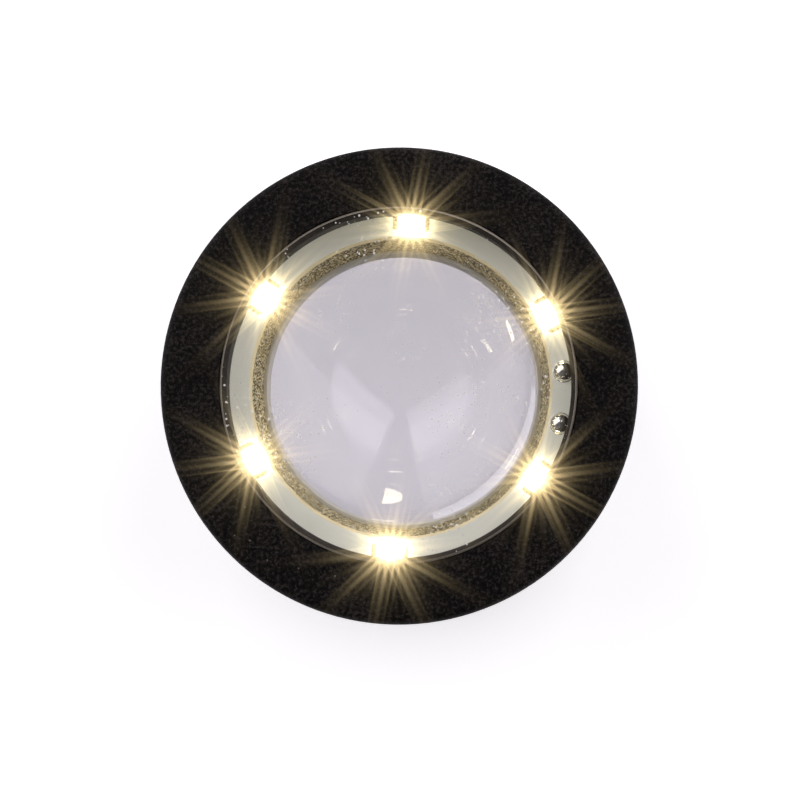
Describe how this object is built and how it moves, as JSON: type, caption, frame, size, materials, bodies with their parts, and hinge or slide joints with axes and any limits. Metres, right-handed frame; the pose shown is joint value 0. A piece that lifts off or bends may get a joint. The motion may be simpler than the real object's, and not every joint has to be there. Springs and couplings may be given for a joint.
{
  "type": "low vision magnifier",
  "caption": "Round hand-held low vision magnifier: doublet lens in a black puck body, clear window over a ring of lights, rubber eye cup, push button and coin-cell cap.",
  "frame": {"origin": "centre of the eye cup's flat rim, which is the middle of the bottom of the bounding box", "axes": "+Z along the optical axis, from the eye side out of the lit page face; +X from the optical axis over the battery cap, midway between the two solder domes; the power button is on the -Y side"},
  "size_m": [0.064, 0.064, 0.042],
  "materials": {
    "black_moulding": "fine spark-eroded matte black",
    "clear_acrylic": "clear polished acrylic",
    "dark_adhesive": "dull foam adhesive ring",
    "white_solder_mask": "white solder mask",
    "white_package": "white moulded",
    "lit_phosphor": "lit warm white phosphor",
    "bright_solder": "bright solder",
    "black_barrel": "fine grained matte black",
    "natural_nylon": "natural nylon, turned",
    "lens_acrylic": "polished optical acrylic",
    "black_aluminium": "black anodised",
    "soft_rubber": "soft matte rubber",
    "dark_screw": "black zinc",
    "nickel_spring": "nickel plated spring strip",
    "cell_steel": "satin steel can",
    "foam_pad": "closed-cell foam",
    "grey_button": "satin grey",
    "switch_black": "moulded",
    "green_board": "green solder mask",
    "resistor_black": "glazed chip",
    "red_wire": "silicone insulation",
    "black_wire": "silicone insulation"
  },
  "bodies": {
    "body": {"front_bezel": "black_moulding", "window": "clear_acrylic", "window_gasket": "dark_adhesive", "led_board": "white_solder_mask", "led_packages": "white_package", "led_phosphors": "lit_phosphor", "led_terminals": "bright_solder", "solder_domes": "bright_solder", "lens_barrel": "black_barrel", "page_lens": "lens_acrylic", "eye_lens": "lens_acrylic", "lens_spacer": "natural_nylon", "lens_retaining_ring": "black_aluminium", "body_shell": "black_moulding", "rear_cover": "black_moulding", "eye_cup": "soft_rubber", "assembly_screws": "dark_screw", "battery_holder": "white_package", "negative_contact": "nickel_spring", "positive_clip": "nickel_spring", "inner_cell": "cell_steel", "outer_cell": "cell_steel", "push_switch": "switch_black", "switch_board": "green_board", "switch_resistors": "resistor_black", "light_wire_red": "red_wire", "light_wire_black": "black_wire", "battery_wire_red": "red_wire"},
    "cap": {"battery_cap": "black_moulding", "cap_pad": "foam_pad"},
    "button": {"power_button": "grey_button", "switch_plunger": "switch_black"}
  },
  "joints": [
    {"name": "cap_twist", "type": "hinge", "parent": "body", "child": "cap", "pos_m": [0.0285, 0, 0.0214], "axis": [1, 0, 0], "range_deg": [0, 45]},
    {"name": "button_press", "type": "slide", "parent": "body", "child": "button", "axis": [0, 1, 0], "range_m": [0, 0.0006], "stiffness_N_per_m": 2500}
  ]
}
